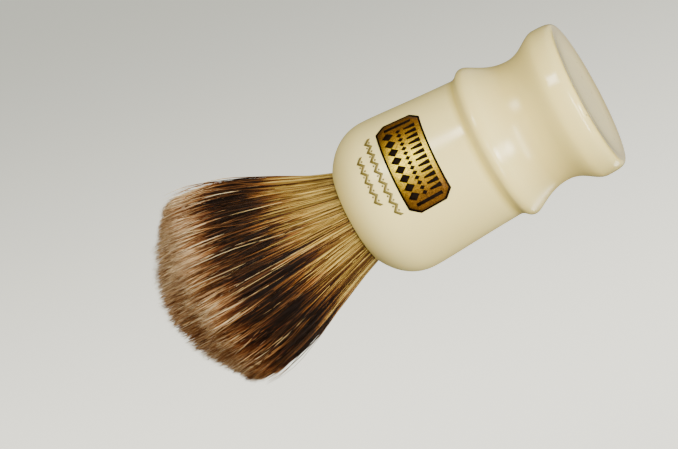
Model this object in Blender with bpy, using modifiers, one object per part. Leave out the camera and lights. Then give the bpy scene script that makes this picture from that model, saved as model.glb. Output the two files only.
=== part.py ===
"""Shaving brush: turned resin handle, set knot and a fan of hair.

Frame: +Z along the brush's axis towards the hair, origin at the centre of the foot's underside,
-Y through the face that carries the foil label. Lengths below are millimetres times MM.
"""
import math

import bmesh
import bpy
from mathutils import Vector
from mathutils.geometry import interpolate_bezier

MM = 0.001
GAP = 0.3 * MM                    # clearance between pieces that touch on the real brush
WELD = 0.01 * MM                  # points closer than this are one point

# Handle
FOOT_R = 16.35 * MM               # radius of the foot's lip
RING_R = 14.9 * MM                # outer radius of the flat ring that the brush stands on
DISH_R = 14.3 * MM                # radius of the shallow dish inside that ring
DISH_DEPTH = 0.45 * MM
WAIST_R = 13.4 * MM
WAIST_Z = 11.7 * MM
COLLAR_R = 16.45 * MM
COLLAR_Z = 20.7 * MM
BARREL_FOOT_R = 15.15 * MM        # barrel just above the collar's step
BARREL_FOOT_Z = 24.4 * MM
BARREL_R = 16.35 * MM             # widest place of the barrel
BARREL_Z = 44.0 * MM
STEP_R = 15.55 * MM               # where the fillet under the barrel turns into the collar's crest
STEP_Z = 22.35 * MM
BROW_R = 16.0 * MM                # where the waist's flare turns into the foot's lip
BROW_Z = 5.6 * MM
LIP_Z = 3.9 * MM                  # top of the lip's straight side
MOUTH_R = 10.7 * MM               # crest of the mouth's lip
MOUTH_Z = 53.2 * MM
SOCKET_R = 10.3 * MM
SOCKET_Z = 37.3 * MM              # floor of the blind socket

# How full each curve of the handle is: its two Bezier handles, as (radius, height) in millimetres
SHOULDER_PULLS = ((13.4, 51.6), (16.35, 48.7))
BARREL_PULLS = ((16.35, 40.8), (15.55, 33.0))
FILLET_PULLS = ((15.05, 23.4), (15.1, 22.95))
CREST_PULLS = ((15.95, 21.85), (16.45, 21.6))
SWEEP_PULLS = ((16.45, 19.2), (13.4, 16.5))
FLARE_PULLS = ((13.4, 8.9), (15.2, 7.3))
BROW_PULLS = ((16.24, 5.1), (16.35, 4.6))
LIP_PULLS = ((16.35, 1.6), (16.2, 0.0))
MOUTH_PULLS = ((10.3, 53.1), (10.5, 53.3))
DISH_PULLS = ((11.4, 0.26), (9.0, 0.45))
MOUTH_ROUND = 0.5 * MM            # height of the rounding inside the mouth

# Knot
BED_WALL = 0.6 * MM
PLUG_CHAMFER = 0.5 * MM
BED_TOP_Z = 48.3 * MM
PLUG_TOP_Z = 48.7 * MM
CORD_R = 0.3 * MM
CORD_TURNS = 3
CORD_PITCH = 0.65 * MM
CORD_OFF = 0.35 * MM              # clear space between the hair and the cord
CORD_Z = 49.3 * MM                # centre of the lowest turn
ROOT_Z = 49.0 * MM                # hair starts here, just above the plug
ROOT_R = 8.9 * MM

# Hair
HAIR_MOUTH_R = 9.9 * MM
NECK_POWER = 4                    # how late the hair widens between its root and the mouth
HAIR_EDGE_R = 20.5 * MM           # widest place of the fan
HAIR_EDGE_Z = 87.5 * MM
HAIR_TIP_Z = 98.0 * MM            # crown of the dome
FLARE_POWER = 1.25
DOME_POWER = 2.2
CORE_SHARE = 0.52                 # the core's share of the fan's radius
LOCKS = 12
LOCK_INNER_SHARE = 0.57           # where a lock's inner side lies, as a share of the fan's radius
LOCK_SIDES = 8
LOCK_TIP_SHARE = 0.45             # how much of its width a lock keeps at its very tip
LOCK_TIP_RISE = 0.6 * MM

# Label and rules, printed on the barrel
FOIL_THICK = 0.12 * MM
FOIL_LIFT = 0.1 * MM
LABEL_ANGLE = math.radians(18.0)  # centre of the print, from -Y towards +X
LABEL_Z = 35.7 * MM
LABEL_HALF_ANGLE = math.radians(38.0)
LABEL_HALF_WIDTH = 4.8 * MM
LABEL_CORNER = 0.16               # share of the half length that the clipped corners take
LABEL_CLIP = 0.4                  # share of the half width that they take
LABEL_CUTS = (25, 4)
RULE_WIDTH = 0.4 * MM
ZIGZAG = 0.65 * MM                # half height of a zigzag rule
LONG_RULE = (42.5 * MM, math.radians(32.0), 11)    # height, half angle, number of peaks
SHORT_RULE = (45.2 * MM, math.radians(19.5), 7)

# How finely each solid is cut
HANDLE_STEPS = 64
KNOT_STEPS = 40
CORE_STEPS = 24
CORD_STEPS = 20
STATIONS = 7                      # places along the loose hair
BINDING_PLACE = 0.66              # the station above the binding, as a share of the way to the mouth


def clear_scene():
    for item in list(bpy.data.objects):
        bpy.data.objects.remove(item, do_unlink=True)


def new_collection(name):
    group = bpy.data.collections.new(name)
    bpy.context.scene.collection.children.link(group)
    return group


def material(name, colour, roughness, metallic=0.0):
    mat = bpy.data.materials.new(name)
    mat.use_nodes = True
    shader = mat.node_tree.nodes["Principled BSDF"]
    shader.inputs["Base Color"].default_value = (*colour, 1.0)
    shader.inputs["Roughness"].default_value = roughness
    shader.inputs["Metallic"].default_value = metallic
    mat.diffuse_color = (*colour, 1.0)
    return mat


def add_object(name, mesh, mat):
    obj = bpy.data.objects.new(name, mesh)
    obj.data.materials.append(mat)
    BRUSH.objects.link(obj)
    return obj


def bezier(start, pulls, end, count):
    """Points of one curve in the (radius, height) plane, without its last point."""
    middle = [(r * MM, z * MM) for r, z in pulls]
    knots = [Vector((r, 0.0, z)) for r, z in (start, *middle, end)]
    points = interpolate_bezier(*knots, count + 1)
    return [(p.x, p.z) for p in points[:-1]]


def turned(name, profile, steps, mat):
    """A solid of revolution about Z from an outline that runs down its outer side."""
    mesh = bpy.data.meshes.new(name)
    points = [(r, 0.0, z) for r, z in profile]
    edges = [(i, i + 1) for i in range(len(points) - 1)]
    mesh.from_pydata(points, edges, [])
    obj = add_object(name, mesh, mat)
    screw = obj.modifiers.new("Turned", "SCREW")
    screw.axis = "Z"
    screw.steps = steps
    screw.render_steps = steps
    screw.use_merge_vertices = True
    screw.merge_threshold = WELD
    screw.use_smooth_shade = True
    return obj


def outer_outline():
    """The handle's outside, from the mouth's crest down to the ring that it stands on."""
    places = [(MOUTH_R, MOUTH_Z), (BARREL_R, BARREL_Z), (BARREL_FOOT_R, BARREL_FOOT_Z), (STEP_R, STEP_Z),
              (COLLAR_R, COLLAR_Z), (WAIST_R, WAIST_Z), (BROW_R, BROW_Z), (FOOT_R, LIP_Z), (RING_R, 0.0)]
    curves = [(SHOULDER_PULLS, 9), (BARREL_PULLS, 5), (FILLET_PULLS, 4), (CREST_PULLS, 4),
              (SWEEP_PULLS, 7), (FLARE_PULLS, 6), (BROW_PULLS, 3), (LIP_PULLS, 6)]
    outline = []
    for start, end, (pulls, cuts) in zip(places, places[1:], curves):
        outline += bezier(start, pulls, end, cuts)
    return outline + [places[-1]]


def barrel_radius(height):
    """Radius of the outside at a height on the barrel or the shoulder."""
    line = [point for point in outer_outline() if point[1] >= BARREL_FOOT_Z]
    for (r_top, z_top), (r_low, z_low) in zip(line, line[1:]):
        if z_low <= height <= z_top:
            share = (height - z_low) / (z_top - z_low)
            return r_low + share * (r_top - r_low)
    return line[-1][0]


def make_handle():
    socket = [(0.0, SOCKET_Z), (SOCKET_R, SOCKET_Z)]
    lip = bezier((SOCKET_R, MOUTH_Z - MOUTH_ROUND), MOUTH_PULLS, (MOUTH_R, MOUTH_Z), 3)
    dish = bezier((DISH_R, 0.0), DISH_PULLS, (0.0, DISH_DEPTH), 5)
    profile = socket + lip + outer_outline() + dish + [(0.0, DISH_DEPTH)]
    turned("handle", profile, HANDLE_STEPS, RESIN)


def make_bed():
    """The cup of cured adhesive between the knot's plug and the socket."""
    outer = SOCKET_R - GAP
    inner = outer - BED_WALL
    floor = SOCKET_Z + GAP
    profile = [(0.0, floor + BED_WALL), (inner, floor + BED_WALL), (inner, BED_TOP_Z),
               (outer, BED_TOP_Z), (outer, floor), (0.0, floor)]
    turned("adhesive_bed", profile, KNOT_STEPS, ADHESIVE)


def make_plug():
    """The hair's roots, set in resin."""
    radius = SOCKET_R - 2.0 * GAP - BED_WALL
    bottom = SOCKET_Z + 2.0 * GAP + BED_WALL
    profile = [(0.0, PLUG_TOP_Z), (radius - PLUG_CHAMFER, PLUG_TOP_Z), (radius, PLUG_TOP_Z - PLUG_CHAMFER),
               (radius, bottom + PLUG_CHAMFER), (radius - PLUG_CHAMFER, bottom), (0.0, bottom)]
    turned("knot_plug", profile, KNOT_STEPS, ROOT_RESIN)


def make_cord():
    """The cord wound round the roots, just inside the mouth."""
    curve = bpy.data.curves.new("binding_cord", "CURVE")
    curve.dimensions = "3D"
    curve.bevel_depth = CORD_R
    curve.bevel_resolution = 2
    curve.use_fill_caps = True
    radius = ROOT_R + CORD_OFF + CORD_R
    spline = curve.splines.new("POLY")
    spline.points.add(CORD_TURNS * CORD_STEPS - 1)
    for i, point in enumerate(spline.points):
        turn = i / CORD_STEPS
        angle = 2.0 * math.pi * turn
        point.co = (radius * math.cos(angle), radius * math.sin(angle), CORD_Z + CORD_PITCH * turn, 1.0)
    add_object("binding_cord", curve, CORD)


def hair_radius(height):
    """Radius of the whole bundle of hair at a height."""
    if height <= MOUTH_Z:
        share = (height - ROOT_Z) / (MOUTH_Z - ROOT_Z)
        return ROOT_R + (HAIR_MOUTH_R - ROOT_R) * max(share, 0.0) ** NECK_POWER
    share = min((height - MOUTH_Z) / (HAIR_EDGE_Z - MOUTH_Z), 1.0)
    flare = math.sin(0.5 * math.pi * share) ** FLARE_POWER
    return HAIR_MOUTH_R + (HAIR_EDGE_R - HAIR_MOUTH_R) * flare


def hair_point(share, along, angle):
    """A point of the bundle: share of its radius, 0 root to 1 tip, angle from +X."""
    tip = HAIR_TIP_Z - (HAIR_TIP_Z - HAIR_EDGE_Z) * share ** DOME_POWER
    height = ROOT_Z + along * (tip - ROOT_Z)
    radius = share * hair_radius(height)
    return Vector((radius * math.cos(angle), radius * math.sin(angle), height))


def stations():
    """Root to tip places along the hair: one above the binding, one at the mouth, then even."""
    mouth = (MOUTH_Z - ROOT_Z) / (HAIR_EDGE_Z - ROOT_Z)
    even = [mouth + (1.0 - mouth) * i / STATIONS for i in range(STATIONS + 1)]
    return [0.0, BINDING_PLACE * mouth] + even


def make_core():
    side = [hair_point(CORE_SHARE, along, 0.0) for along in reversed(stations())]
    dome = [hair_point(CORE_SHARE * i / 4.0, 1.0, 0.0) for i in range(4)]
    profile = [(p.x, p.z) for p in dome + side] + [(0.0, ROOT_Z)]
    turned("hair_core", profile, CORE_STEPS, HAIR_DARK)


def lock_section():
    """A square with cut corners: pairs of how far across and how far outward, each from -1 to 1."""
    half_side = math.pi / LOCK_SIDES
    square = 1.0 / math.cos(half_side)

    def squared(value):
        return max(-1.0, min(1.0, value * square))
    corners = [half_side * (2 * k + 1) for k in range(LOCK_SIDES)]
    return [(squared(math.cos(a)), squared(math.sin(a))) for a in corners]


def make_lock(index):
    """One lock of the outer hair: a sector of the bundle that narrows to a rounded tip."""
    middle = 2.0 * math.pi * (index + 0.5) / LOCKS
    middle_share = 0.5 * (1.0 + LOCK_INNER_SHARE)
    half_share = 0.5 * (1.0 - LOCK_INNER_SHARE)
    mesh = bmesh.new()
    rings = []
    rows = [(along, 1.0, 0.0) for along in stations()] + [(1.0, LOCK_TIP_SHARE, LOCK_TIP_RISE)]
    for along, narrow, rise in rows:
        ring = []
        for across, outward in lock_section():
            share = middle_share + half_share * outward * narrow
            radius = hair_point(share, along, 0.0).x
            half_angle = math.pi / LOCKS - 0.5 * GAP / radius
            place = hair_point(share, along, middle - half_angle * across * narrow)
            ring.append(mesh.verts.new(place + Vector((0.0, 0.0, rise))))
        rings.append(ring)
    for low, high in zip(rings, rings[1:]):
        for k in range(LOCK_SIDES):
            mesh.faces.new((low[k], low[k - 1], high[k - 1], high[k]))
    mesh.faces.new(rings[0])
    mesh.faces.new(list(reversed(rings[-1])))
    bmesh.ops.recalc_face_normals(mesh, faces=mesh.faces)
    name = f"hair_lock_{index + 1:02d}"
    data = bpy.data.meshes.new(name)
    mesh.to_mesh(data)
    mesh.free()
    data.shade_smooth()
    add_object(name, data, HAIR_LIGHT)


def on_barrel(angle, height):
    """A point just off the barrel; the angle is from -Y towards +X."""
    radius = barrel_radius(height) + FOIL_LIFT
    return Vector((radius * math.sin(angle), -radius * math.cos(angle), height))


def wrap_on_barrel(name, columns, rows, place, mat):
    """A grid over -1 to 1 both ways, laid on the barrel by place(u, v) and given a thickness."""
    mesh = bmesh.new()
    bmesh.ops.create_grid(mesh, x_segments=columns, y_segments=rows, size=1.0)
    for vert in mesh.verts:
        vert.co = on_barrel(*place(vert.co.x, vert.co.y))
    data = bpy.data.meshes.new(name)
    mesh.to_mesh(data)
    mesh.free()
    obj = add_object(name, data, mat)
    shell = obj.modifiers.new("Foil", "SOLIDIFY")
    shell.thickness = FOIL_THICK
    shell.offset = 1.0
    return obj


def make_label():
    """A plain gold plaque: an octagon that follows the barrel."""
    def place(u, v):
        clipped = max(0.0, (abs(u) - 1.0 + LABEL_CORNER) / LABEL_CORNER)
        half_width = LABEL_HALF_WIDTH * (1.0 - LABEL_CLIP * clipped)
        return LABEL_ANGLE + LABEL_HALF_ANGLE * u, LABEL_Z + half_width * v
    wrap_on_barrel("foil_label", *LABEL_CUTS, place, GOLD)


def make_rule(name, height, half_angle, peaks):
    """A zigzag gold rule round part of the barrel."""
    def place(u, v):
        phase = (0.5 * (u + 1.0) * peaks) % 1.0
        wave = 1.0 - 4.0 * abs(phase - 0.5)
        return LABEL_ANGLE + half_angle * u, height + ZIGZAG * wave + 0.5 * RULE_WIDTH * v
    wrap_on_barrel(name, 2 * peaks, 1, place, GOLD)


clear_scene()
BRUSH = new_collection("shaving_brush")
RESIN = material("ivory_resin", (0.74, 0.67, 0.49), 0.18)
ADHESIVE = material("adhesive", (0.42, 0.33, 0.17), 0.35)
ROOT_RESIN = material("root_resin", (0.36, 0.24, 0.10), 0.45)
CORD = material("binding_thread", (0.62, 0.54, 0.38), 0.85)
HAIR_DARK = material("hair_dark_band", (0.07, 0.035, 0.016), 0.6)
HAIR_LIGHT = material("hair_light_band", (0.46, 0.32, 0.15), 0.6)
GOLD = material("gold_foil", (0.60, 0.40, 0.12), 0.35, 1.0)

make_handle()
make_bed()
make_plug()
make_cord()
make_core()
for lock_index in range(LOCKS):
    make_lock(lock_index)
make_label()
make_rule("zigzag_rule_long", *LONG_RULE)
make_rule("zigzag_rule_short", *SHORT_RULE)
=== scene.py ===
"""Looks for the shaving brush: polished resin handle, printed foil and a fan of banded hair."""
import math

import bpy
import numpy as np
from mathutils import Matrix, Vector
from mathutils.geometry import interpolate_bezier


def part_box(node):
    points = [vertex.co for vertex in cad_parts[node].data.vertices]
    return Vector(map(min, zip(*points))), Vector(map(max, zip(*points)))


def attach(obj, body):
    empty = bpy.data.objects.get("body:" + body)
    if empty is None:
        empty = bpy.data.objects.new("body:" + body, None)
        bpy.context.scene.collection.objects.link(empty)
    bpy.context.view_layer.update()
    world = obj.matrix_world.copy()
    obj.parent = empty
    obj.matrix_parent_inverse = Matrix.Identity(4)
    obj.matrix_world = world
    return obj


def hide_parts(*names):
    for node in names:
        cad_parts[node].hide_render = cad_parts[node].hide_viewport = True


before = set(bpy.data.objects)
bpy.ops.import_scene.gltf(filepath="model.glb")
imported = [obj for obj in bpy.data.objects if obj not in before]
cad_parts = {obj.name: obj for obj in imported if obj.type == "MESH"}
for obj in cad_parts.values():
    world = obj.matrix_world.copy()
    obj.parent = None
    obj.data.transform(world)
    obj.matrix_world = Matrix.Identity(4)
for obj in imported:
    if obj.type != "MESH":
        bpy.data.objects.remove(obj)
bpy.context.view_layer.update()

MM = 0.001
BODY = "root"

# Places read from the frame
HANDLE_LOW, HANDLE_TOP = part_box("handle")
FOOT_Z = HANDLE_LOW.z
MOUTH_Z = HANDLE_TOP.z
HAIR_TIP_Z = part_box("hair_core")[1].z
LOCK_BOXES = [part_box(name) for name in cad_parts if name.startswith("hair_lock")]
ROOT_Z = LOCK_BOXES[0][0].z
LABEL_LOW, LABEL_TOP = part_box("foil_label")
LABEL_Z = 0.5 * (LABEL_LOW.z + LABEL_TOP.z)
LONG_LOW, LONG_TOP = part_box("zigzag_rule_long")
SHORT_LOW, SHORT_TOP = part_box("zigzag_rule_short")

# Handle: the same radii and heights as the CAD outline, which scene.py can't read
FOOT_R = 16.35 * MM
RING_R = 14.9 * MM
DISH_R = 14.3 * MM
DISH_DEPTH = 0.45 * MM
WAIST_R = 13.4 * MM
WAIST_Z = 11.7 * MM
COLLAR_R = 16.45 * MM
COLLAR_Z = 20.7 * MM
BARREL_FOOT_R = 15.15 * MM
BARREL_FOOT_Z = 24.4 * MM
BARREL_R = 16.35 * MM
BARREL_Z = 44.0 * MM
MOUTH_R = 10.7 * MM
SOCKET_R = 10.3 * MM
SOCKET_Z = 37.3 * MM
FILLET_R, FILLET_Z = 15.55 * MM, 22.35 * MM    # where the fillet runs into the collar
BROW_R, BROW_Z = 16.0 * MM, 5.6 * MM           # where the flare starts to turn over into the foot
LIP_Z = 3.9 * MM                               # where the foot is widest
HANDLE_STEPS = 160                             # facets round the handle
MERGE_GAP = 0.01 * MM                          # points on the axis closer than this become one

# Print on the barrel
LABEL_ANGLE = math.radians(18.0)               # centre of the print, from -Y towards +X
LABEL_HALF_ANGLE = math.radians(38.0)
LABEL_CORNER = 0.16                            # share of the half length in the clipped corners
LABEL_CLIP = 0.4                               # share of the half width that they take
LABEL_HALF_WIDTH = 0.5 * (LABEL_TOP.z - LABEL_LOW.z)
KEYLINE = 0.42 * MM                            # width of the black line round the gold
LONG_RULE = (math.radians(32.0), 8)            # half angle, number of peaks
SHORT_RULE = (math.radians(19.5), 5)
RULE_WIDTH = 0.74 * MM
RULE_DOT = 0.26 * MM
FOIL_LIFT = 0.03 * MM
FOIL_THICK = 0.03 * MM

# Hair: the bundle
HAIR_MOUTH_R = 9.9 * MM
HAIR_ROOT_R = 8.9 * MM
HAIR_EDGE_R = 20.5 * MM
HAIR_EDGE_Z = 87.5 * MM
NECK_POWER = 4                    # shapes the neck inside the mouth, the flare above it, the crown
FLARE_POWER = 1.25
DOME_POWER = 2.2
MASS_SHARE = 0.84                 # how much of the bundle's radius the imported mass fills
MASS_DROP = 6.0 * MM              # how far its top stays below the tips

# Hair: the bands. Places along a hair are shares of BAND_LENGTH, which ends at the tip.
BAND_LENGTH = 36.0 * MM
BAND_MIDDLE = 0.63                # the dark band's middle
BAND_SHIFT = 0.24                 # how far apart the kinds of hair can have it
TONES, SHIFTS = 16, 16            # kinds of hair: dark to pale, and where along it the bands sit
DARK_TONES = (0.0, 0.26)          # range
MID_TONES = (0.5, 0.12)           # mean and spread
PALE_TONES = (0.70, 0.97)         # range
SHIFT_SPREAD = 0.16

# Hair: what is added to the tone, the shift and the bands' spread, at -X and then more at +X,
# where it is paler and its bands are shorter. This is painted light and shade: darker at -X,
# where shade falls, and lighter at +X, where light falls
TONE_SHADE, TONE_LIGHT = -0.12, 0.20
SHIFT_BASE, SHIFT_LIGHT = 0.44, 0.08
SPREAD_BASE, SPREAD_LIGHT = 0.9, 0.38

# Hair: the strands
STRAND_R = 0.072 * MM
DRIFT = 0.021                     # how far a tip wanders, as a share of the bundle's radius
STRAY_SHARE, STRAY_DRIFT, STRAY_HOLD = 0.28, 3.2, 0.12    # strays wander more and gather less
FLY_SHARE, FLY_DRIFT, FLY_REACH = 0.03, 6.0, 0.08         # flyaways leave the bundle's outside
LOCK_HOLD = 0.3                   # how tightly a lock gathers its hairs, next to a clump
SHORT_SHARE, SHORT_MOST = 0.14, 6.0                       # hairs broken short, by up to so many mm
WAVES = ((1.1, 0.26), (3.3, 0.10))                        # waves in a hair, and their reach in mm
SEED = 7

# Camera: below the level of the foot, so that the foot's underside shows
CAMERA_PLACE = Vector((0.0, -743.2, -103.5)) * MM
CAMERA_TARGET = Vector((0.17, 0.0, 57.8)) * MM
CAMERA_ROLL = math.radians(117.9)
CAMERA_LENS = 198.6

# Soft boxes: name, azimuth, elevation, distance, width, height, radiance, mirrored by the gloss
LIGHTS = (
    ("window", 41.0, 0.0, 0.7, 0.22, 0.26, 10.0, True),
    ("window_core", 41.0, 0.0, 0.69, 0.12, 0.14, 18.0, True),
    ("strip", -20.0, -22.0, 0.8, 0.9, 0.06, 34.0, True),
    ("sparkle", -20.0, -44.0, 0.7, 0.22, 0.13, 26.0, True),
    ("sparkle_core", -20.0, -44.0, 0.69, 0.12, 0.07, 50.0, True),
    ("main", -6.0, -24.0, 0.8, 0.6, 0.7, 4.45, False),
    ("top", 50.0, 66.0, 0.8, 0.6, 0.6, 2.2, False),
    ("back", 187.0, 25.0, 0.8, 0.7, 0.7, 3.2, False),
    ("rear_window", 222.0, -12.0, 0.8, 0.20, 0.26, 4.0, True),
)
LIGHT_COLOUR = (1.0, 0.965, 0.86)
LIGHT_AIM = Vector((0.0, 0.0, 0.045))

# Floor
FLOOR_HALF = 2.0
FLOOR_GAP = 0.00002               # clear space below the foot
FLOOR_FADE = (0.15, 1.3)          # from where the floor fades out, and where it has gone


# ---------------------------------------------------------------- node helpers
class Nodes:
    """Short names for building one material's nodes."""

    def __init__(self, name):
        self.mat = bpy.data.materials.new(name)
        self.mat.use_nodes = True
        self.tree = self.mat.node_tree
        self.shader = self.tree.nodes["Principled BSDF"]

    def add(self, kind, **settings):
        node = self.tree.nodes.new(kind)
        for key, value in settings.items():
            setattr(node, key, value)
        return node

    def link(self, source, target):
        self.tree.links.new(source, target)

    def fill(self, socket, value):
        if hasattr(value, "is_output"):
            self.link(value, socket)
        else:
            socket.default_value = value

    def math(self, operation, a, b=0.0, c=0.0, clamp=False):
        node = self.add("ShaderNodeMath", operation=operation, use_clamp=clamp)
        for socket, value in zip(node.inputs, (a, b, c)):
            self.fill(socket, value)
        return node.outputs[0]

    def ramp(self, factor, stops):
        """Colours blended between stops of (place, colour). A plain number is a grey."""
        node = self.add("ShaderNodeValToRGB")
        elements = node.color_ramp.elements
        while len(elements) < len(stops):
            elements.new(0.5)
        for element, (place, colour) in zip(elements, stops):
            element.position = place
            grey = not isinstance(colour, tuple)
            element.color = rgb(colour, colour, colour) if grey else rgb(*colour)
        self.fill(node.inputs[0], factor)
        return node.outputs[0]

    def mix(self, factor, a, b, blend="MIX"):
        node = self.add("ShaderNodeMix", data_type="RGBA", blend_type=blend)
        self.fill(node.inputs["Factor"], factor)
        self.fill(node.inputs[6], a)
        self.fill(node.inputs[7], b)
        return node.outputs[2]

    def noise(self, vector, scale, detail=2.0, roughness=0.5):
        node = self.add("ShaderNodeTexNoise")
        self.link(vector, node.inputs["Vector"])
        node.inputs["Scale"].default_value = scale
        node.inputs["Detail"].default_value = detail
        node.inputs["Roughness"].default_value = roughness
        return node.outputs[0]

    def place(self):
        return self.add("ShaderNodeTexCoord").outputs["Object"]

    def split(self, vector):
        node = self.add("ShaderNodeSeparateXYZ")
        self.link(vector, node.inputs[0])
        return tuple(node.outputs)

    def length(self, vector):
        node = self.add("ShaderNodeVectorMath", operation="LENGTH")
        self.link(vector, node.inputs[0])
        return node.outputs["Value"]

    def bump(self, height, strength, distance):
        node = self.add("ShaderNodeBump")
        node.inputs["Strength"].default_value = strength
        node.inputs["Distance"].default_value = distance
        self.link(height, node.inputs["Height"])
        self.link(node.outputs[0], self.shader.inputs["Normal"])

    def set(self, **values):
        for key, value in values.items():
            self.fill(self.shader.inputs[key.replace("_", " ")], value)


def rgb(*colour):
    """A colour with the full alpha that sockets want."""
    return (*colour, 1.0)


# ---------------------------------------------------------------- materials
def resin_material():
    """Polished cream resin, yellower in the grooves and in a ring underneath by painted shade, with
    specks.
    """
    n = Nodes("ivory_resin_look")
    place = n.place()
    z = n.split(place)[2]
    height = n.math("DIVIDE", z, MOUTH_Z)
    # Painted shade: the ramp darkens and yellows the resin in the flare and the waist, in the
    # fillet below the collar, and towards the underside and the mouth
    cream, warm_shade, fillet_shade = (0.83, 0.70, 0.29), (0.79, 0.65, 0.235), (0.62, 0.49, 0.14)
    waist_shade = (0.70, 0.565, 0.195)
    along = n.ramp(height, [(0.0, warm_shade), (0.02, cream), (0.11, warm_shade), (0.20, waist_shade),
                            (0.25, waist_shade), (0.35, cream), (0.415, warm_shade), (0.432, fillet_shade),
                            (0.46, cream), (0.9, cream), (1.0, warm_shade)])
    cloud = n.noise(place, 70.0, 3.0, 0.55)
    tone = n.math("MULTIPLY_ADD", cloud, 0.08, 0.96)
    toned = n.mix(1.0, along, tone, "MULTIPLY")

    # The underside: a darker ring of painted shade near its edge, and specks
    flat = n.add("ShaderNodeVectorMath", operation="MULTIPLY")
    n.link(place, flat.inputs[0])
    flat.inputs[1].default_value = (1.0 / FOOT_R, 1.0 / FOOT_R, 0.0)
    ring = n.ramp(n.length(flat.outputs[0]), [(0.0, 0.0), (0.58, 0.0), (0.78, 0.55), (0.86, 1.0),
                                              (0.92, 1.0), (0.95, 0.0), (1.0, 0.0)])
    under = n.math("LESS_THAN", z, DISH_DEPTH)
    # Painted shade: the darker ring under the foot
    painted_shading = n.math("MULTIPLY", n.math("MULTIPLY", ring, under), 0.8)
    rim_shaded = n.mix(painted_shading, toned, rgb(0.38, 0.29, 0.085))
    speck = n.math("GREATER_THAN", n.noise(place, 1500.0, 1.0, 0.5), 0.735)
    specks = n.math("MULTIPLY", n.math("MULTIPLY", speck, under), 0.6)
    n.set(Base_Color=n.mix(specks, rim_shaded, rgb(0.20, 0.13, 0.06)))
    n.shader.inputs["Specular IOR Level"].default_value = 0.5
    n.shader.inputs["IOR"].default_value = 1.5
    n.shader.inputs["Subsurface Weight"].default_value = 0.12
    n.shader.inputs["Subsurface Radius"].default_value = (1.0, 0.7, 0.35)
    n.shader.inputs["Subsurface Scale"].default_value = 0.0015

    # Shinier on the foot and the collar, and a little smeared all over
    smear = n.noise(place, 240.0, 2.0, 0.5)
    polish = n.ramp(height, [(0.0, 0.04), (0.11, 0.05), (0.19, 0.20), (0.36, 0.20),
                             (0.39, 0.03), (0.43, 0.06), (0.52, 0.20), (1.0, 0.20)])
    n.set(Roughness=n.math("MULTIPLY_ADD", smear, 0.08, polish))
    n.bump(n.noise(place, 900.0, 2.0, 0.5), 0.04, 0.0002)
    return n.mat


def foil_material():
    """Gold leaf: a glittering grain, with a painted reflection bright in the plaque's middle and
    painted shade browner towards its ends.
    """
    n = Nodes("gold_foil_look")
    place = n.place()
    x, y, _ = n.split(place)
    angle = n.math("ARCTAN2", x, n.math("MULTIPLY", y, -1.0))
    off = n.math("ABSOLUTE", n.math("SUBTRACT", angle, LABEL_ANGLE))
    share = n.math("DIVIDE", off, LABEL_HALF_ANGLE)
    # Painted reflection in the plaque's middle and painted shade towards its ends, by the angle
    # round the barrel
    gold = n.ramp(share, [(0.0, (0.90, 0.67, 0.058)), (0.15, (0.84, 0.60, 0.045)),
                          (0.30, (0.48, 0.32, 0.015)), (0.48, (0.24, 0.130, 0.007)),
                          (0.70, (0.110, 0.048, 0.005)), (1.0, (0.075, 0.030, 0.004))])
    cloud = n.noise(place, 260.0, 2.0, 0.5)
    grain = n.noise(place, 3600.0, 2.0, 0.7)
    # Mottling over the painted reflection and shade
    painted_shading = n.mix(1.0, gold, n.math("MULTIPLY_ADD", cloud, 0.5, 0.75), "MULTIPLY")
    glitter = n.math("MULTIPLY_ADD", grain, 3.0, -0.5)
    n.set(Base_Color=n.mix(1.0, painted_shading, glitter, "MULTIPLY"), Metallic=0.2)
    n.set(Roughness=n.math("MULTIPLY_ADD", grain, 0.25, 0.3))
    n.shader.inputs["Specular IOR Level"].default_value = 0.06
    n.bump(grain, 0.3, 0.00003)
    return n.mat


def print_material():
    """The thinner gold of the rules, which lets some of the resin's tone through."""
    n = Nodes("gold_print_look")
    grain = n.noise(n.place(), 2600.0, 2.0, 0.6)
    gold = n.ramp(grain, [(0.3, (0.12, 0.092, 0.016)), (0.7, (0.20, 0.155, 0.032))])
    n.set(Base_Color=gold, Metallic=0.3)
    n.set(Roughness=n.math("MULTIPLY_ADD", grain, 0.2, 0.3))
    return n.mat


def ink_material():
    """The black of the keyline and the motifs."""
    n = Nodes("black_ink_look")
    grain = n.noise(n.place(), 2200.0, 2.0, 0.6)
    n.set(Base_Color=n.ramp(grain, [(0.3, (0.004, 0.002, 0.001)), (0.7, (0.007, 0.004, 0.002))]))
    n.set(Roughness=n.math("MULTIPLY_ADD", grain, 0.2, 0.45))
    n.shader.inputs["Specular IOR Level"].default_value = 0.03
    return n.mat


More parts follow.
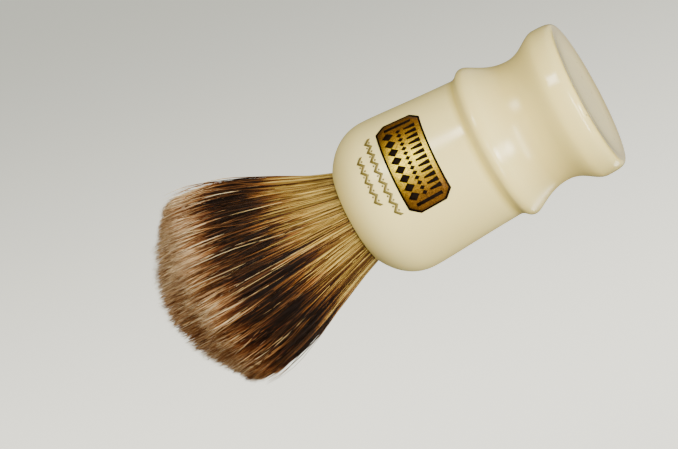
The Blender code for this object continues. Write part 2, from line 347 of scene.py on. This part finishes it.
def hair_material(name):
    """Banded hair. The map's u picks a kind of hair, and v runs from 0 at the root to 1 at the tip.

    A kind is a tone, from dark to pale, and a shift of the bands along the hair.
    """
    n = Nodes(name)
    uv = n.add("ShaderNodeUVMap", uv_map="OFBake")
    u, v, _ = n.split(uv.outputs[0])
    scaled = n.math("MULTIPLY", u, float(TONES))
    tone = n.math("DIVIDE", n.math("FLOOR", scaled), TONES - 1.0)
    shift_bin = n.math("FLOOR", n.math("MULTIPLY", n.math("FRACT", scaled), float(SHIFTS)))
    shift = n.math("DIVIDE", shift_bin, SHIFTS - 1.0)
    along = n.math("ADD", v, n.math("MULTIPLY_ADD", shift, BAND_SHIFT, -0.5 * BAND_SHIFT))
    dark_hair = n.ramp(along, [(0.0, (0.055, 0.020, 0.004)), (0.26, (0.062, 0.021, 0.004)),
                               (0.36, (0.026, 0.008, 0.003)), (0.44, (0.005, 0.002, 0.001)),
                               (0.78, (0.005, 0.002, 0.001)), (0.86, (0.050, 0.012, 0.003)),
                               (0.93, (0.12, 0.042, 0.012)), (1.0, (0.22, 0.105, 0.045))])
    mid_hair = n.ramp(along, [(0.0, (0.235, 0.148, 0.028)), (0.26, (0.30, 0.182, 0.034)),
                              (0.35, (0.21, 0.074, 0.012)), (0.43, (0.045, 0.012, 0.003)),
                              (0.49, (0.010, 0.004, 0.0015)), (0.78, (0.010, 0.004, 0.0015)),
                              (0.85, (0.12, 0.030, 0.006)), (0.92, (0.39, 0.185, 0.068)),
                              (0.98, (0.62, 0.41, 0.220))])
    pale_hair = n.ramp(along, [(0.0, (0.50, 0.365, 0.090)), (0.33, (0.60, 0.43, 0.115)),
                               (0.43, (0.34, 0.130, 0.026)), (0.52, (0.13, 0.048, 0.013)),
                               (0.76, (0.13, 0.048, 0.013)), (0.84, (0.42, 0.19, 0.060)),
                               (0.92, (0.80, 0.57, 0.280)), (1.0, (0.88, 0.72, 0.46))])
    white_hair = n.ramp(along, [(0.0, (0.52, 0.36, 0.10)), (0.4, (0.52, 0.37, 0.15)),
                                (0.65, (0.46, 0.32, 0.14)), (1.0, (0.88, 0.74, 0.50))])
    low = n.mix(n.math("MULTIPLY", tone, 2.0, clamp=True), dark_hair, mid_hair)
    high = n.mix(n.math("MULTIPLY_ADD", tone, 2.0, -1.0, clamp=True), low, pale_hair)
    is_white = n.math("GREATER_THAN", tone, 1.0 - 0.5 / TONES)
    n.set(Base_Color=n.mix(is_white, high, white_hair))
    n.shader.inputs["Roughness"].default_value = 0.45
    n.shader.inputs["Specular IOR Level"].default_value = 0.1
    return n.mat


def simple_material(name, colour, roughness, scale, depth):
    """A plain stuff with a little mottling and grain, and bumps of a depth in metres."""
    n = Nodes(name)
    cloud = n.noise(n.place(), scale, 3.0, 0.6)
    low = tuple(c * 0.75 for c in colour)
    high = tuple(min(1.0, c * 1.15) for c in colour)
    n.set(Base_Color=n.ramp(cloud, [(0.3, low), (0.7, high)]))
    n.set(Roughness=n.math("MULTIPLY_ADD", cloud, 0.2, roughness))
    n.bump(cloud, 0.3, depth)
    return n.mat


# ---------------------------------------------------------------- mesh helpers
def link_mesh(name, mesh, mat):
    """A new object with its look, which rides on the part's one body."""
    obj = bpy.data.objects.new(name, mesh)
    bpy.context.scene.collection.objects.link(obj)
    mesh.materials.append(mat)
    mesh.shade_smooth()
    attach(obj, BODY)
    return obj


def bezier(start, pull, push, end, count):
    """Points of (radius, height) along a curve, without its last one."""
    knots = [Vector((r, 0.0, z)) for r, z in (start, pull, push, end)]
    return [(p.x, p.z) for p in interpolate_bezier(*knots, count + 1)[:-1]]


def outer_outline():
    """The handle's outside, from the mouth's crest down to the ring that it stands on.

    Each curve has its start, its two pulls, its end and its number of steps.
    """
    shoulder = bezier((MOUTH_R, MOUTH_Z), (13.4 * MM, 51.6 * MM),
                      (BARREL_R, 48.7 * MM), (BARREL_R, BARREL_Z), 26)
    barrel = bezier((BARREL_R, BARREL_Z), (BARREL_R, 40.8 * MM),
                    (15.55 * MM, 33.0 * MM), (BARREL_FOOT_R, BARREL_FOOT_Z), 16)
    fillet = bezier((BARREL_FOOT_R, BARREL_FOOT_Z), (15.05 * MM, 23.4 * MM),
                    (15.1 * MM, 22.95 * MM), (FILLET_R, FILLET_Z), 12)
    crest = bezier((FILLET_R, FILLET_Z), (15.95 * MM, 21.85 * MM),
                   (COLLAR_R, 21.6 * MM), (COLLAR_R, COLLAR_Z), 12)
    sweep = bezier((COLLAR_R, COLLAR_Z), (COLLAR_R, 19.2 * MM),
                   (WAIST_R, 16.5 * MM), (WAIST_R, WAIST_Z), 20)
    flare = bezier((WAIST_R, WAIST_Z), (WAIST_R, 8.9 * MM),
                   (15.2 * MM, 7.3 * MM), (BROW_R, BROW_Z), 16)
    brow = bezier((BROW_R, BROW_Z), (16.24 * MM, 5.1 * MM),
                  (FOOT_R, 4.6 * MM), (FOOT_R, LIP_Z), 8)
    lip = bezier((FOOT_R, LIP_Z), (FOOT_R, 1.6 * MM),
                 (16.2 * MM, 0.0), (RING_R, 0.0), 18)
    return shoulder + barrel + fillet + crest + sweep + flare + brow + lip + [(RING_R, FOOT_Z)]


OUTLINE = outer_outline()
BARREL_LINE = [point for point in OUTLINE if point[1] >= BARREL_FOOT_Z - 0.01 * MM]


def barrel_radius(height):
    heights = [z for r, z in reversed(BARREL_LINE)]
    radii = [r for r, z in reversed(BARREL_LINE)]
    return float(np.interp(height, heights, radii))


def make_handle(mat):
    """The whole turned handle, with its socket and the dish under its foot."""
    lip = bezier((SOCKET_R, MOUTH_Z - 0.5 * MM), (SOCKET_R, MOUTH_Z - 0.1 * MM),
                 (10.5 * MM, MOUTH_Z + 0.1 * MM), (MOUTH_R, MOUTH_Z), 8)
    dish = bezier((DISH_R, 0.0), (11.4 * MM, 0.26 * MM),
                  (9.0 * MM, DISH_DEPTH), (0.0, DISH_DEPTH), 24)
    profile = [(0.0, SOCKET_Z), (SOCKET_R, SOCKET_Z)] + lip + OUTLINE + dish + [(0.0, DISH_DEPTH)]
    mesh = bpy.data.meshes.new("turned_handle")
    edges = [(i, i + 1) for i in range(len(profile) - 1)]
    mesh.from_pydata([(r, 0.0, z) for r, z in profile], edges, [])
    obj = link_mesh("turned_handle", mesh, mat)
    screw = obj.modifiers.new("Turned", "SCREW")
    screw.steps = screw.render_steps = HANDLE_STEPS
    screw.use_merge_vertices = True
    screw.merge_threshold = MERGE_GAP
    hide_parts("handle")


def on_barrel(angle, height, lift):
    """A point just above the barrel's surface."""
    radius = barrel_radius(height) + lift
    return (radius * math.sin(angle), -radius * math.cos(angle), height)


def slab_faces(columns, rows, base):
    """Faces of a closed slab whose lower and upper layers are grids of points."""
    wide = columns + 1
    layer = wide * (rows + 1)
    faces = []
    for j in range(rows):
        for i in range(columns):
            a = base + j * wide + i
            quad = (a, a + 1, a + wide + 1, a + wide)
            faces += [tuple(k + layer for k in quad), quad[::-1]]
    for i in range(columns):
        a, b = base + i, base + rows * wide + i
        faces += [(a, a + 1, a + 1 + layer, a + layer), (b + 1, b, b + layer, b + 1 + layer)]
    for j in range(rows):
        a, b = base + j * wide, base + j * wide + columns
        faces += [(a + wide, a, a + layer, a + wide + layer),
                  (b, b + wide, b + wide + layer, b + layer)]
    return faces


def lay_on_barrel(name, grids, lift, thick, mat):
    """Closed thin solids in one mesh, one for each grid of (angle, height) points."""
    verts, faces = [], []
    for grid in grids:
        faces += slab_faces(len(grid[0]) - 1, len(grid) - 1, len(verts))
        for off in (lift, lift + thick):
            verts += [on_barrel(angle, height, off) for line in grid for angle, height in line]
    mesh = bpy.data.meshes.new(name)
    mesh.from_pydata(verts, [], faces)
    return link_mesh(name, mesh, mat)


def patch(columns, rows, place):
    """A grid of (angle, height) points over u and v from -1 to 1."""
    across = np.linspace(-1.0, 1.0, columns + 1)
    return [[place(u, v) for u in across] for v in np.linspace(-1.0, 1.0, rows + 1)]


def tile(corners):
    """A grid over four corners, counter-clockwise.

    Each corner is (along the arc, height) in millimetres from the label's middle.
    """
    a, b, c, d = (np.array(corner) * MM for corner in corners)

    def place(u, v):
        s, t = 0.5 * (u + 1.0), 0.5 * (v + 1.0)
        arc, height = (1.0 - t) * ((1.0 - s) * a + s * b) + t * ((1.0 - s) * d + s * c)
        return LABEL_ANGLE + arc / BARREL_R, LABEL_Z + height
    return patch(3, 3, place)


def plaque(inset):
    """The clipped plaque, drawn in by a margin."""
    def place(u, v):
        clipped = max(0.0, (abs(u) - 1.0 + LABEL_CORNER) / LABEL_CORNER)
        half_width = (LABEL_HALF_WIDTH - inset) * (1.0 - LABEL_CLIP * clipped)
        return LABEL_ANGLE + (LABEL_HALF_ANGLE - inset / BARREL_R) * u, LABEL_Z + half_width * v
    return patch(60, 8, place)


def make_label(gold, ink):
    """A gold plaque with a black keyline, end panels and three rows of plain motifs."""
    border = lay_on_barrel("label_keyline", [plaque(0.0)], FOIL_LIFT, FOIL_THICK, ink)
    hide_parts("foil_label")
    lay_on_barrel("label_face", [plaque(KEYLINE)], FOIL_LIFT + FOIL_THICK, FOIL_THICK, gold)

    def lozenge(x, z, half_x, half_z):
        return tile([(x, z - half_z), (x + half_x, z), (x, z + half_z), (x - half_x, z)])

    def upright(x, low, top, foot, head):
        return tile([(x - foot, low), (x + foot, low), (x + head, top), (x - head, top)])

    def spaced(count, reach):
        return np.linspace(-reach, reach, count)

    # Two rows of lozenges, a row of tapered uprights, and the end panels' bars
    motifs = [lozenge(x, 2.5, 0.98, 1.25) for x in spaced(8, 7.05)]
    motifs += [lozenge(x, 0.2, 0.50, 0.62) for x in spaced(14, 7.3)]
    motifs += [upright(x, -3.5, -1.0, 0.50, 0.20) for x in spaced(12, 7.3)]
    motifs += [upright(side * 8.95, -2.9, 2.9, 0.36, 0.36) for side in (-1.0, 1.0)]
    lay_on_barrel("label_ornament", motifs, FOIL_LIFT + 2.0 * FOIL_THICK, FOIL_THICK, ink)


def make_zigzag(name, low, top, half_angle, peaks, mat):
    """A zigzag rule with a dot in every notch, as high as the CAD rule's box."""
    middle = 0.5 * (low.z + top.z)
    swing = 0.5 * (top.z - low.z - RULE_WIDTH)
    step = half_angle / peaks

    def place(u, v):
        phase = (0.5 * (u + 1.0) * peaks) % 1.0
        wave = 1.0 - 4.0 * abs(phase - 0.5)
        return LABEL_ANGLE + half_angle * u, middle + swing * wave + 0.5 * RULE_WIDTH * v

    def speck(notch):
        angle = LABEL_ANGLE - half_angle + step * (notch + 1)
        height = middle + (swing - 0.5 * RULE_DOT) * (1.0 if notch % 2 else -1.0)

        def place_speck(u, v):
            return angle + 0.5 * (u - v) * RULE_DOT / BARREL_R, height + 0.5 * (u + v) * RULE_DOT
        return patch(1, 1, place_speck)
    grids = [patch(6 * peaks, 1, place)] + [speck(notch) for notch in range(2 * peaks - 1)]
    rule = lay_on_barrel(name, grids, FOIL_LIFT, FOIL_THICK, mat)
    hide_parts(name.replace("print_", ""))


# ---------------------------------------------------------------- hair
def hair_radius(height):
    """Radius of the whole bundle of hair at each height."""
    inside = np.clip((height - ROOT_Z) / (MOUTH_Z - ROOT_Z), 0.0, 1.0)
    below = HAIR_ROOT_R + (HAIR_MOUTH_R - HAIR_ROOT_R) * inside ** NECK_POWER
    share = np.clip((height - MOUTH_Z) / (HAIR_EDGE_Z - MOUTH_Z), 0.0, 1.0)
    flare = np.sin(0.5 * math.pi * share) ** FLARE_POWER
    above = HAIR_MOUTH_R + (HAIR_EDGE_R - HAIR_MOUTH_R) * flare
    return np.where(height <= MOUTH_Z, below, above)


def tip_height(share):
    """The crown's height over each share of the bundle's radius."""
    return HAIR_TIP_Z - (HAIR_TIP_Z - HAIR_EDGE_Z) * share ** DOME_POWER


def bundle_point(share, height, angle):
    """Points at a share of the bundle's radius."""
    radius = share * hair_radius(height)
    return np.stack([radius * np.cos(angle), radius * np.sin(angle), height], axis=-1)


def smooth(x):
    """An S curve from 0 to 1."""
    x = np.clip(x, 0.0, 1.0)
    return x * x * (3.0 - 2.0 * x)


def strand_mesh(name, paths, radii, kinds, places, mat):
    """One mesh of many closed three-sided strands, each with its own kind of hair in its map."""
    count, rows = paths.shape[:2]
    tangent = np.gradient(paths, axis=1)
    tangent /= np.linalg.norm(tangent, axis=-1, keepdims=True)
    outward = paths * np.array([1.0, 1.0, 0.0])
    outward /= np.maximum(np.linalg.norm(outward, axis=-1, keepdims=True), 1e-6)
    side = np.cross(tangent, outward)
    side /= np.maximum(np.linalg.norm(side, axis=-1, keepdims=True), 1e-6)
    over = np.cross(side, tangent)
    turn = np.arange(3) * 2.0 * math.pi / 3.0
    ring = (side[:, :, None] * np.cos(turn)[:, None] + over[:, :, None] * np.sin(turn)[:, None])
    verts = paths[:, :, None] + ring * radii[:, :, None, None]

    # Faces: the sides between each two rows of three points, and the two ends
    base = np.arange(count)[:, None, None] * rows * 3
    row = np.arange(rows - 1)[None, :, None] * 3
    j = np.arange(3)[None, None, :]
    k = (j + 1) % 3
    low = base + row
    quads = np.stack([low + j, low + k, low + 3 + k, low + 3 + j], axis=-1).reshape(-1, 4)
    start = np.arange(count) * rows * 3
    roots = np.stack([start + 2, start + 1, start], axis=-1)
    end = start + (rows - 1) * 3
    tips = np.stack([end, end + 1, end + 2], axis=-1)
    mesh = bpy.data.meshes.new(name)
    faces = quads.tolist() + roots.tolist() + tips.tolist()
    mesh.from_pydata(verts.reshape(-1, 3).tolist(), [], faces)

    # The map: u inside the column of the strand's kind, v along the bands
    column = (kinds[:, None, None] + np.array([0.25, 0.5, 0.75])) / (TONES * SHIFTS)
    u = np.broadcast_to(column, (count, rows, 3)).reshape(-1)
    v = np.broadcast_to(places[:, :, None], (count, rows, 3)).reshape(-1)
    corner = np.zeros(len(mesh.loops), dtype=np.int32)
    mesh.loops.foreach_get("vertex_index", corner)
    layer = mesh.uv_layers.new(name="OFBake")
    uv = np.stack([u[corner], np.clip(v[corner], 0.0, 1.0)], axis=-1)
    layer.data.foreach_set("uv", uv.ravel())
    return link_mesh(name, mesh, mat)


def grow(rng, count, share_low, share_high, start, rows, clumps, locks,
         thick=1.0, dark=0.34, pale=0.18, white=0.014):
    """Paths, radii, kinds and places of strands whose roots fill a ring of the bundle.

    They start at a share of the way from the root to the tip, and are gathered into clumps and
    locks. Dark, pale and white are the shares of such hairs; the rest are of a middle tone.
    """
    share = np.sqrt(rng.uniform(share_low ** 2, share_high ** 2, count))
    angle = rng.uniform(0.0, 2.0 * math.pi, count)
    flat = np.stack([share * np.cos(angle), share * np.sin(angle)], axis=-1)
    clump = nearest(flat, clumps["flat"])
    lock = nearest(flat, locks["flat"])
    along = start + (1.0 - start) * np.linspace(0.0, 1.0, rows)
    lean = smooth(along)[None, :, None]
    stray = rng.random(count) < STRAY_SHARE
    fly = rng.random(count) < FLY_SHARE
    loose = np.where(fly, FLY_DRIFT, np.where(stray, STRAY_DRIFT, 1.0))[:, None]
    drift = rng.normal(0.0, DRIFT, (count, 2)) * loose
    spot = flat[:, None] + (drift + locks["drift"][lock])[:, None] * lean
    # Hairs are gathered most tightly in the middle of their length
    hold = np.interp(along, [0.0, 0.15, 0.55, 0.85, 1.0], [0.35, 0.6, 1.0, 0.8, 0.35])
    hold = hold[None, :, None]
    for group, owner, strength in ((clumps, clump, 1.0), (locks, lock, LOCK_HOLD)):
        middle = group["flat"][owner] + locks["drift"][lock]
        gather = strength * group["pull"][owner][:, None, None] * hold
        gather = gather * np.where(stray, STRAY_HOLD, 1.0)[:, None, None]
        spot = spot + (middle[:, None] - spot) * gather

    # Keep all but the flyaways inside the bundle, and break some hairs short
    size = np.linalg.norm(spot, axis=-1)
    reach = np.where(fly, FLY_REACH, 0.0)[:, None] * smooth(along)[None]
    limit = 1.0 + rng.uniform(-0.03, 0.015, (count, 1)) + reach
    size = size * np.minimum(1.0, limit / np.maximum(size, 1e-6))
    theta = np.arctan2(spot[..., 1], spot[..., 0])
    uneven = np.abs(rng.normal(0.0, 1.0, count))
    short = uneven + np.where(rng.random(count) < SHORT_SHARE, rng.uniform(0, SHORT_MOST, count), 0)
    tip = tip_height(np.minimum(size[:, -1], 1.0)) - short * MM + clumps["length"][clump]
    height = ROOT_Z + along[None] * (tip - ROOT_Z)[:, None]
    paths = bundle_point(size, height, theta)
    for axis in (0, 1):
        for cycles, reach in WAVES:
            turns = rng.uniform(0.7, 1.3, (count, 1)) * cycles
            phase = rng.uniform(0.0, 2.0 * math.pi, (count, 1))
            swing = reach * MM * along[None] * rng.uniform(0.4, 1.6, (count, 1))
            paths[..., axis] += swing * np.sin(2.0 * math.pi * turns * along[None] + phase)
    # Thin at the tip, and a little at the root
    taper = np.interp(along, [0.0, 0.3, 0.75, 0.93, 1.0], [0.9, 1.0, 1.0, 0.75, 0.18])
    radii = thick * STRAND_R * rng.uniform(0.7, 1.4, (count, 1)) * taper[None]

    # The kind of hair, and where its bands sit
    pick = rng.random(count)
    dark_tone, mid_tone = rng.uniform(*DARK_TONES, count), rng.normal(*MID_TONES, count)
    pale_tone = rng.uniform(*PALE_TONES, count)
    tone = np.select([pick < dark, pick < 1.0 - pale], [dark_tone, mid_tone], pale_tone)
    # Painted light and shade: side runs from 0 at -X to 1 at +X, where the hair is painted paler
    # with shorter bands
    side = smooth(1.6 * np.cos(theta[:, -1]) * size[:, -1])
    tone = tone + TONE_SHADE + TONE_LIGHT * side + clumps["tone"][clump] + locks["tone"][lock]
    shift = SHIFT_BASE + SHIFT_LIGHT * side + clumps["shift"][clump] + locks["shift"][lock]
    shift = shift + rng.normal(0.0, SHIFT_SPREAD, count)
    tone_bin = np.clip(np.floor(tone * (TONES - 1)), 0, TONES - 2)
    tone_bin[rng.random(count) < white] = TONES - 1
    shift_bin = np.clip(np.floor(shift * SHIFTS), 0, SHIFTS - 1)
    place = 1.0 - (tip[:, None] - height) / BAND_LENGTH
    place = BAND_MIDDLE + (place - BAND_MIDDLE) * (SPREAD_BASE + SPREAD_LIGHT * side)[:, None]
    return paths, radii, tone_bin * SHIFTS + shift_bin, place


def nearest(points, middles):
    """For each point, the number of the middle that is nearest to it."""
    return np.argmin(((points[:, None] - middles[None]) ** 2).sum(-1), axis=1)


def field(rng, count, pull, drift, length, tone, shift):
    """Middles of clumps or locks, spread evenly over the bundle, with what their hairs share.

    Pull is a range. Drift, length in millimetres, tone and shift are how much those vary.
    """
    share = np.sqrt((np.arange(count) + 0.5) / count)
    angle = np.arange(count) * math.pi * (3.0 - math.sqrt(5.0))
    flat = np.stack([share * np.cos(angle), share * np.sin(angle)], axis=-1)
    flat += rng.normal(0.0, 0.35 / math.sqrt(count), (count, 2))
    return {"flat": flat,
            "drift": rng.normal(0.0, drift, (count, 2)),
            "pull": rng.uniform(*pull, count),
            "length": rng.normal(0.0, length, count) * MM,
            "tone": rng.normal(0.0, tone, count),
            "shift": rng.normal(0.0, shift, count)}


def make_hair():
    """All the loose hair, from the outside in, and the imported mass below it."""
    rng = np.random.default_rng(SEED)
    mat = hair_material("hair_look")
    clumps = field(rng, 2400, (0.25, 0.85), 0.0, 0.4, 0.25, 0.10)
    locks = field(rng, 170, (0.05, 0.55), 0.020, 0.0, 0.04, 0.10)

    # For each ring: its strands, its inner and outer share of the bundle's radius, where along
    # their length the strands start, and the points along each
    for index in range(5):
        data = grow(rng, 2400, 0.87, 1.0, 0.02, 14, clumps, locks)
        strand_mesh(f"outer_hair_{index + 1}", *data, mat)
    data = grow(rng, 2400, 0.965, 1.0, 0.02, 14, clumps, locks,
                thick=1.1, dark=0.46, pale=0.28, white=0.06)
    strand_mesh("guard_hair", *data, mat)
    for index in range(2):
        data = grow(rng, 3300, 0.45, 0.87, 0.35, 10, clumps, locks)
        strand_mesh(f"middle_hair_{index + 1}", *data, mat)
    data = grow(rng, 3600, 0.0, 0.45, 0.6, 8, clumps, locks)
    strand_mesh("inner_hair", *data, mat)
    hair_locks = [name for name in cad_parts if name.startswith("hair_lock")]
    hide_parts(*hair_locks)
    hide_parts("hair_core")
    make_hair_mass()


def make_hair_mass():
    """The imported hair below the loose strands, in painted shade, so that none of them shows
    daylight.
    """
    rows, steps = 26, 96
    along = np.linspace(0.0, 1.0, rows)
    angle = np.arange(steps) * 2.0 * math.pi / steps
    top = tip_height(MASS_SHARE) - MASS_DROP
    height = ROOT_Z + along * (top - ROOT_Z)
    verts = [bundle_point(MASS_SHARE, np.full(steps, z), angle) for z in height]
    for share in (0.75 * MASS_SHARE, 0.5 * MASS_SHARE, 0.25 * MASS_SHARE):
        verts.append(bundle_point(share, np.full(steps, tip_height(share) - MASS_DROP), angle))
    verts = np.array(verts)
    total = len(verts)
    faces = []
    for i in range(total - 1):
        for j in range(steps):
            k = (j + 1) % steps
            faces.append((i * steps + j, i * steps + k, (i + 1) * steps + k, (i + 1) * steps + j))
    faces.append(tuple(reversed(range(steps))))
    faces.append(tuple((total - 1) * steps + j for j in range(steps)))
    mesh = bpy.data.meshes.new("hair_mass")
    mesh.from_pydata(verts.reshape(-1, 3).tolist(), [], faces)
    n = Nodes("hair_mass_shade_look")
    z = n.split(n.place())[2]
    level = n.math("DIVIDE", n.math("SUBTRACT", z, MOUTH_Z), HAIR_TIP_Z - MOUTH_Z)
    # Colours that follow the bands, darkened with painted shade for the depth below the loose
    # strands
    colour = n.ramp(level, [(0.0, (0.060, 0.024, 0.006)), (0.2, (0.050, 0.018, 0.005)),
                            (0.33, (0.009, 0.003, 0.002)), (0.6, (0.009, 0.003, 0.002)),
                            (0.75, (0.05, 0.02, 0.007)), (1.0, (0.11, 0.055, 0.02))])
    n.set(Base_Color=colour, Roughness=0.8)
    link_mesh("hair_mass", mesh, n.mat)


# ---------------------------------------------------------------- inner pieces
def dress_inner_nodes():
    """Materials for the CAD pieces inside the socket, which are carried over as they are."""
    looks = {
        "adhesive_bed": ("adhesive_look", (0.42, 0.33, 0.17), 0.3, 400.0, 0.00005),
        "knot_plug": ("root_resin_look", (0.36, 0.24, 0.10), 0.4, 900.0, 0.00005),
        "binding_cord": ("binding_thread_look", (0.62, 0.54, 0.38), 0.7, 1800.0, 0.00008),
    }
    for name, look in looks.items():
        mat = simple_material(*look)
        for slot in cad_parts[name].material_slots:
            slot.material = mat


# ---------------------------------------------------------------- stage
def make_camera():
    """A long lens in line with the photograph's, rolled as far as the brush lies over in it."""
    data = bpy.data.cameras.new("camera")
    data.lens = CAMERA_LENS
    data.clip_start = 0.01
    data.clip_end = 50.0
    cam = bpy.data.objects.new("camera", data)
    bpy.context.scene.collection.objects.link(cam)
    look = (CAMERA_TARGET - CAMERA_PLACE).to_track_quat("-Z", "Y").to_matrix().to_4x4()
    roll = Matrix.Rotation(-CAMERA_ROLL, 4, "Z")
    cam.matrix_world = Matrix.Translation(CAMERA_PLACE) @ look @ roll
    bpy.context.scene.camera = cam


def make_floor():
    """A pale floor under the foot.

    The photograph looks up at the foot's underside, so the camera is below the floor's level. The
    floor is one-sided for that reason: it shows only to a camera above it, and never blocks light.
    """
    s = FLOOR_HALF
    mesh = bpy.data.meshes.new("floor")
    mesh.from_pydata([(-s, -s, 0), (s, -s, 0), (s, s, 0), (-s, s, 0)], [], [(0, 1, 2, 3)])
    obj = bpy.data.objects.new("floor", mesh)
    bpy.context.scene.collection.objects.link(obj)
    obj.location.z = FOOT_Z - FLOOR_GAP
    n = Nodes("floor_look")
    n.set(Base_Color=rgb(0.84, 0.83, 0.78), Roughness=0.7)
    n.shader.inputs["Specular IOR Level"].default_value = 0.2
    n.set(Emission_Color=rgb(0.80, 0.79, 0.72), Emission_Strength=0.45)
    clear = n.add("ShaderNodeBsdfTransparent")
    seen = n.add("ShaderNodeLightPath").outputs["Is Camera Ray"]
    above = n.math("SUBTRACT", 1.0, n.add("ShaderNodeNewGeometry").outputs["Backfacing"])
    fade = n.add("ShaderNodeMapRange", interpolation_type="SMOOTHSTEP")
    n.link(n.length(n.place()), fade.inputs["Value"])
    for socket, value in zip(fade.inputs[1:5], (*FLOOR_FADE, 1.0, 0.0)):
        socket.default_value = value
    shown = n.math("MULTIPLY", n.math("MULTIPLY", seen, above), fade.outputs[0])
    mix = n.add("ShaderNodeMixShader")
    n.link(shown, mix.inputs[0])
    n.link(clear.outputs[0], mix.inputs[1])
    n.link(n.shader.outputs[0], mix.inputs[2])
    n.link(mix.outputs[0], n.tree.nodes["Material Output"].inputs["Surface"])
    mesh.materials.append(n.mat)


def add_light(name, azimuth, elevation, distance, width, height, radiance, mirrored):
    """A soft box that faces the brush. Azimuth is from -Y towards +X, in degrees.

    A light that isn't mirrored gives soft light but leaves no reflection on the gloss.
    """
    data = bpy.data.lights.new(name, "AREA")
    data.shape = "RECTANGLE"
    data.size, data.size_y = width, height
    data.energy = math.pi * width * height * radiance
    data.color = LIGHT_COLOUR
    obj = bpy.data.objects.new(name, data)
    bpy.context.scene.collection.objects.link(obj)
    obj.visible_glossy = mirrored
    a, e = math.radians(azimuth), math.radians(elevation)
    away = Vector((math.sin(a) * math.cos(e), -math.cos(a) * math.cos(e), math.sin(e)))
    obj.location = LIGHT_AIM + distance * away
    obj.rotation_euler = away.to_track_quat("Z", "Y").to_euler()


def make_world():
    """A pale backdrop for the camera, and for the light a dim room over a brighter floor."""
    world = bpy.data.worlds.new("studio")
    bpy.context.scene.world = world
    world.use_nodes = True
    tree = world.node_tree
    tree.nodes.clear()
    down = (0.0, 0.0, -1.0)
    low_behind = (0.0, 0.643, -0.766)

    def either(factor, first, second):
        """One shader or the other, by a factor from 0 to 1."""
        mix = tree.nodes.new("ShaderNodeMixShader")
        for socket, source in zip(mix.inputs, (factor, first, second)):
            tree.links.new(source, socket)
        return mix.outputs[0]

    def facing(vector, low, high):
        """From 0 to 1 by how far the view points along a direction."""
        geometry = tree.nodes.new("ShaderNodeTexCoord")
        dot = tree.nodes.new("ShaderNodeVectorMath")
        dot.operation = "DOT_PRODUCT"
        tree.links.new(geometry.outputs["Generated"], dot.inputs[0])
        dot.inputs[1].default_value = vector
        span = tree.nodes.new("ShaderNodeMapRange")
        span.interpolation_type = "SMOOTHSTEP"
        tree.links.new(dot.outputs["Value"], span.inputs["Value"])
        span.inputs["From Min"].default_value, span.inputs["From Max"].default_value = low, high
        return span.outputs[0]

    def sweep(vector, low, high, dim, bright):
        """A smooth blend between two colours by how far the view points along a direction."""
        mix = tree.nodes.new("ShaderNodeMix")
        mix.data_type = "RGBA"
        tree.links.new(facing(vector, low, high), mix.inputs["Factor"])
        mix.inputs[6].default_value = (*dim, 1.0)
        mix.inputs[7].default_value = (*bright, 1.0)
        background = tree.nodes.new("ShaderNodeBackground")
        tree.links.new(mix.outputs[2], background.inputs[0])
        return background.outputs[0]

    backdrop = sweep((-1.02, -0.043, 0.20), -0.09, 0.075, (0.70, 0.70, 0.60), (2.1, 2.05, 1.75))
    reflected = sweep(down, -0.05, 0.16, (0.14, 0.13, 0.09), (1.05, 1.00, 0.82))
    ambient = sweep(down, -0.3, 0.4, (0.25, 0.24, 0.20), (0.50, 0.485, 0.40))
    # Dark below and behind, where the near edge of the underside finds its reflection
    dark = tree.nodes.new("ShaderNodeBackground")
    dark.inputs[0].default_value = rgb(0.03, 0.025, 0.01)
    shaded = either(facing(low_behind, 0.80, 0.91), reflected, dark.outputs[0])
    path = tree.nodes.new("ShaderNodeLightPath")
    scattered = either(path.outputs["Is Glossy Ray"], ambient, shaded)
    out = tree.nodes.new("ShaderNodeOutputWorld")
    tree.links.new(either(path.outputs["Is Camera Ray"], scattered, backdrop), out.inputs[0])


dress_inner_nodes()
make_handle(resin_material())
make_label(foil_material(), ink_material())
PRINT = print_material()
make_zigzag("print_zigzag_rule_long", LONG_LOW, LONG_TOP, *LONG_RULE, PRINT)
make_zigzag("print_zigzag_rule_short", SHORT_LOW, SHORT_TOP, *SHORT_RULE, PRINT)
make_hair()
make_camera()
make_floor()
for light in LIGHTS:
    add_light(*light)
make_world()
